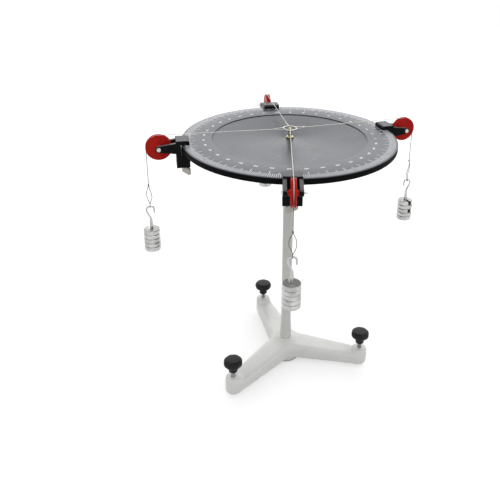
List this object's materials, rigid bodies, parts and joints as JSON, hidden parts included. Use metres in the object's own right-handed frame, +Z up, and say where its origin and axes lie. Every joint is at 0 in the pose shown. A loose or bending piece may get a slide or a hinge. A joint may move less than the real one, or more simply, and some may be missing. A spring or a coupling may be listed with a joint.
{
  "type": "force table",
  "caption": "Laboratory force table: graduated disc on a pillar and levelling tripod, with clamp-on pulleys, cords, a centre ring and slotted mass hangers.",
  "frame": {"origin": "on the pillar axis at bench level, midway between the three levelling points", "axes": "+Z up along the pillar, +X to the right as the picture shows it, +Y away from the viewer"},
  "size_m": [0.5316, 0.5482, 0.5175],
  "materials": {
    "grey_enamel": "pale grey satin enamel",
    "grey_paint": "grey satin paint",
    "dark_paint": "black satin paint",
    "black_disc": "black satin coat with white printed degrees",
    "black_plastic": "black moulded plastic",
    "red_plastic": "red moulded plastic",
    "zinc_steel": "zinc plated steel",
    "nickel": "nickel plate",
    "brass": "turned brass",
    "white_cord": "twisted white cord"
  },
  "bodies": {
    "stand": {"base_casting": "grey_enamel", "pillar": "grey_paint", "pillar_washer": "zinc_steel", "pillar_nut": "zinc_steel", "table_flange": "dark_paint", "flange_grub_screws": "zinc_steel", "disc": "black_disc", "disc_screws": "zinc_steel", "centre_post": "brass", "post_washer": "zinc_steel", "post_nut": "zinc_steel", "ring": "nickel"},
    "level_screw_back": {"levelling_screw_back": "zinc_steel"},
    "level_knob_back": {"levelling_knob_back": "black_plastic"},
    "level_screw_front": {"levelling_screw_front": "zinc_steel"},
    "level_knob_front": {"levelling_knob_front": "black_plastic"},
    "level_screw_right": {"levelling_screw_right": "zinc_steel"},
    "level_knob_right": {"levelling_knob_right": "black_plastic"},
    "right_pulley_clamp": {"right_clamp": "black_plastic", "right_axle": "nickel", "right_cord": "white_cord"},
    "right_wheel": {"right_pulley": "red_plastic"},
    "right_thumb_screw": {"right_clamp_screw": "zinc_steel"},
    "right_thumb_wing": {"right_wing": "nickel"},
    "right_mass_hanger": {"right_hanger": "nickel"},
    "right_mass_stack": {"right_masses": "nickel"},
    "back_pulley_clamp": {"back_clamp": "black_plastic", "back_axle": "nickel", "back_cord": "white_cord"},
    "back_wheel": {"back_pulley": "red_plastic"},
    "back_thumb_screw": {"back_clamp_screw": "zinc_steel"},
    "back_thumb_wing": {"back_wing": "nickel"},
    "back_mass_hanger": {"back_hanger": "nickel"},
    "back_mass_stack": {"back_masses": "nickel"},
    "left_pulley_clamp": {"left_clamp": "black_plastic", "left_axle": "nickel", "left_cord": "white_cord"},
    "left_wheel": {"left_pulley": "red_plastic"},
    "left_thumb_screw": {"left_clamp_screw": "zinc_steel"},
    "left_thumb_wing": {"left_wing": "nickel"},
    "left_mass_hanger": {"left_hanger": "nickel"},
    "left_mass_stack": {"left_masses": "nickel"},
    "front_pulley_clamp": {"front_clamp": "black_plastic", "front_axle": "nickel", "front_cord": "white_cord"},
    "front_wheel": {"front_pulley": "red_plastic"},
    "front_thumb_screw": {"front_clamp_screw": "zinc_steel"},
    "front_thumb_wing": {"front_wing": "nickel"},
    "front_mass_hanger": {"front_hanger": "nickel"},
    "front_mass_stack": {"front_masses": "nickel"}
  },
  "joints": [
    {"name": "level_travel_back", "type": "slide", "parent": "stand", "child": "level_screw_back", "axis": [0, 0, 1], "range_m": [-0.01, 0.00625]},
    {"name": "level_turn_back", "type": "hinge", "parent": "level_screw_back", "child": "level_knob_back", "pos_m": [-0.05507, 0.14809, 0.07], "axis": [0, 0, 1], "range_deg": [-2880, 1800]},
    {"name": "level_travel_front", "type": "slide", "parent": "stand", "child": "level_screw_front", "axis": [0, 0, 1], "range_m": [-0.01, 0.00625]},
    {"name": "level_turn_front", "type": "hinge", "parent": "level_screw_front", "child": "level_knob_front", "pos_m": [-0.10071, -0.12174, 0.07], "axis": [0, 0, 1], "range_deg": [-2880, 1800]},
    {"name": "level_travel_right", "type": "slide", "parent": "stand", "child": "level_screw_right", "axis": [0, 0, 1], "range_m": [-0.01, 0.00625]},
    {"name": "level_turn_right", "type": "hinge", "parent": "level_screw_right", "child": "level_knob_right", "pos_m": [0.15579, -0.02635, 0.07], "axis": [0, 0, 1], "range_deg": [-2880, 1800]},
    {"name": "right_clamp_shift", "type": "hinge", "parent": "stand", "child": "right_pulley_clamp", "pos_m": [0, 0, 0.498], "axis": [0, 0, 1], "range_deg": [-30, 30]},
    {"name": "right_pulley_spin", "type": "hinge", "parent": "right_pulley_clamp", "child": "right_wheel", "pos_m": [0.2252, 0.08241, 0.492], "axis": [-0.3437, 0.9391, 0], "continuous": true},
    {"name": "right_screw_travel", "type": "slide", "parent": "right_pulley_clamp", "child": "right_thumb_screw", "axis": [0, 0, 1], "range_m": [-0.008, 0]},
    {"name": "right_wing_turn", "type": "hinge", "parent": "right_thumb_screw", "child": "right_thumb_wing", "pos_m": [0.18124, 0.06633, 0.45], "axis": [0, 0, 1], "range_deg": [-2880, 0]},
    {"name": "right_hanger_swing", "type": "hinge", "parent": "right_pulley_clamp", "child": "right_mass_hanger", "pos_m": [0.24623, 0.09011, 0.3781], "axis": [-0.3437, 0.9391, 0], "range_deg": [-20, 20]},
    {"name": "right_masses_lift", "type": "slide", "parent": "right_mass_hanger", "child": "right_mass_stack", "axis": [0, 0, 1], "range_m": [0, 0.012]},
    {"name": "back_clamp_shift", "type": "hinge", "parent": "stand", "child": "back_pulley_clamp", "pos_m": [0, 0, 0.498], "axis": [0, 0, 1], "range_deg": [-30, 30]},
    {"name": "back_pulley_spin", "type": "hinge", "parent": "back_pulley_clamp", "child": "back_wheel", "pos_m": [-0.05149, 0.23421, 0.492], "axis": [-0.9767, -0.2147, 0], "continuous": true},
    {"name": "back_screw_travel", "type": "slide", "parent": "back_pulley_clamp", "child": "back_thumb_screw", "axis": [0, 0, 1], "range_m": [-0.008, 0]},
    {"name": "back_wing_turn", "type": "hinge", "parent": "back_thumb_screw", "child": "back_thumb_wing", "pos_m": [-0.04144, 0.1885, 0.45], "axis": [0, 0, 1], "range_deg": [-2880, 0]},
    {"name": "back_hanger_swing", "type": "hinge", "parent": "back_pulley_clamp", "child": "back_mass_hanger", "pos_m": [-0.0563, 0.25608, 0.3756], "axis": [-0.9767, -0.2147, 0], "range_deg": [-20, 20]},
    {"name": "back_masses_lift", "type": "slide", "parent": "back_mass_hanger", "child": "back_mass_stack", "axis": [0, 0, 1], "range_m": [0, 0.012]},
    {"name": "left_clamp_shift", "type": "hinge", "parent": "stand", "child": "left_pulley_clamp", "pos_m": [0, 0, 0.498], "axis": [0, 0, 1], "range_deg": [-30, 30]},
    {"name": "left_pulley_spin", "type": "hinge", "parent": "left_pulley_clamp", "child": "left_wheel", "pos_m": [-0.23356, -0.05435, 0.492], "axis": [0.2267, -0.974, 0], "continuous": true},
    {"name": "left_screw_travel", "type": "slide", "parent": "left_pulley_clamp", "child": "left_thumb_screw", "axis": [0, 0, 1], "range_m": [-0.008, 0]},
    {"name": "left_wing_turn", "type": "hinge", "parent": "left_thumb_screw", "child": "left_thumb_wing", "pos_m": [-0.18798, -0.04374, 0.45], "axis": [0, 0, 1], "range_deg": [-2880, 0]},
    {"name": "left_hanger_swing", "type": "hinge", "parent": "left_pulley_clamp", "child": "left_mass_hanger", "pos_m": [-0.25538, -0.05943, 0.3766], "axis": [0.2267, -0.974, 0], "range_deg": [-20, 20]},
    {"name": "left_masses_lift", "type": "slide", "parent": "left_mass_hanger", "child": "left_mass_stack", "axis": [0, 0, 1], "range_m": [0, 0.012]},
    {"name": "front_clamp_shift", "type": "hinge", "parent": "stand", "child": "front_pulley_clamp", "pos_m": [0, 0, 0.498], "axis": [0, 0, 1], "range_deg": [-30, 30]},
    {"name": "front_pulley_spin", "type": "hinge", "parent": "front_pulley_clamp", "child": "front_wheel", "pos_m": [0.00711, -0.23969, 0.492], "axis": [0.9996, 0.0297, 0], "continuous": true},
    {"name": "front_screw_travel", "type": "slide", "parent": "front_pulley_clamp", "child": "front_thumb_screw", "axis": [0, 0, 1], "range_m": [-0.008, 0]},
    {"name": "front_wing_turn", "type": "hinge", "parent": "front_thumb_screw", "child": "front_thumb_wing", "pos_m": [0.00573, -0.19292, 0.45], "axis": [0, 0, 1], "range_deg": [-2880, 0]},
    {"name": "front_hanger_swing", "type": "hinge", "parent": "front_pulley_clamp", "child": "front_mass_hanger", "pos_m": [0.00778, -0.26209, 0.3951], "axis": [0.0297, -0.9996, 0], "range_deg": [-20, 20]},
    {"name": "front_masses_lift", "type": "slide", "parent": "front_mass_hanger", "child": "front_mass_stack", "axis": [0, 0, 1], "range_m": [0, 0.012]}
  ],
  "couplings": [
    {"joint": "level_travel_back", "follows": "level_turn_back", "m_per_rad": 0.00019894},
    {"joint": "level_travel_front", "follows": "level_turn_front", "m_per_rad": 0.00019894},
    {"joint": "level_travel_right", "follows": "level_turn_right", "m_per_rad": 0.00019894},
    {"joint": "right_screw_travel", "follows": "right_wing_turn", "m_per_rad": 0.00015915},
    {"joint": "back_screw_travel", "follows": "back_wing_turn", "m_per_rad": 0.00015915},
    {"joint": "left_screw_travel", "follows": "left_wing_turn", "m_per_rad": 0.00015915},
    {"joint": "front_screw_travel", "follows": "front_wing_turn", "m_per_rad": 0.00015915}
  ]
}
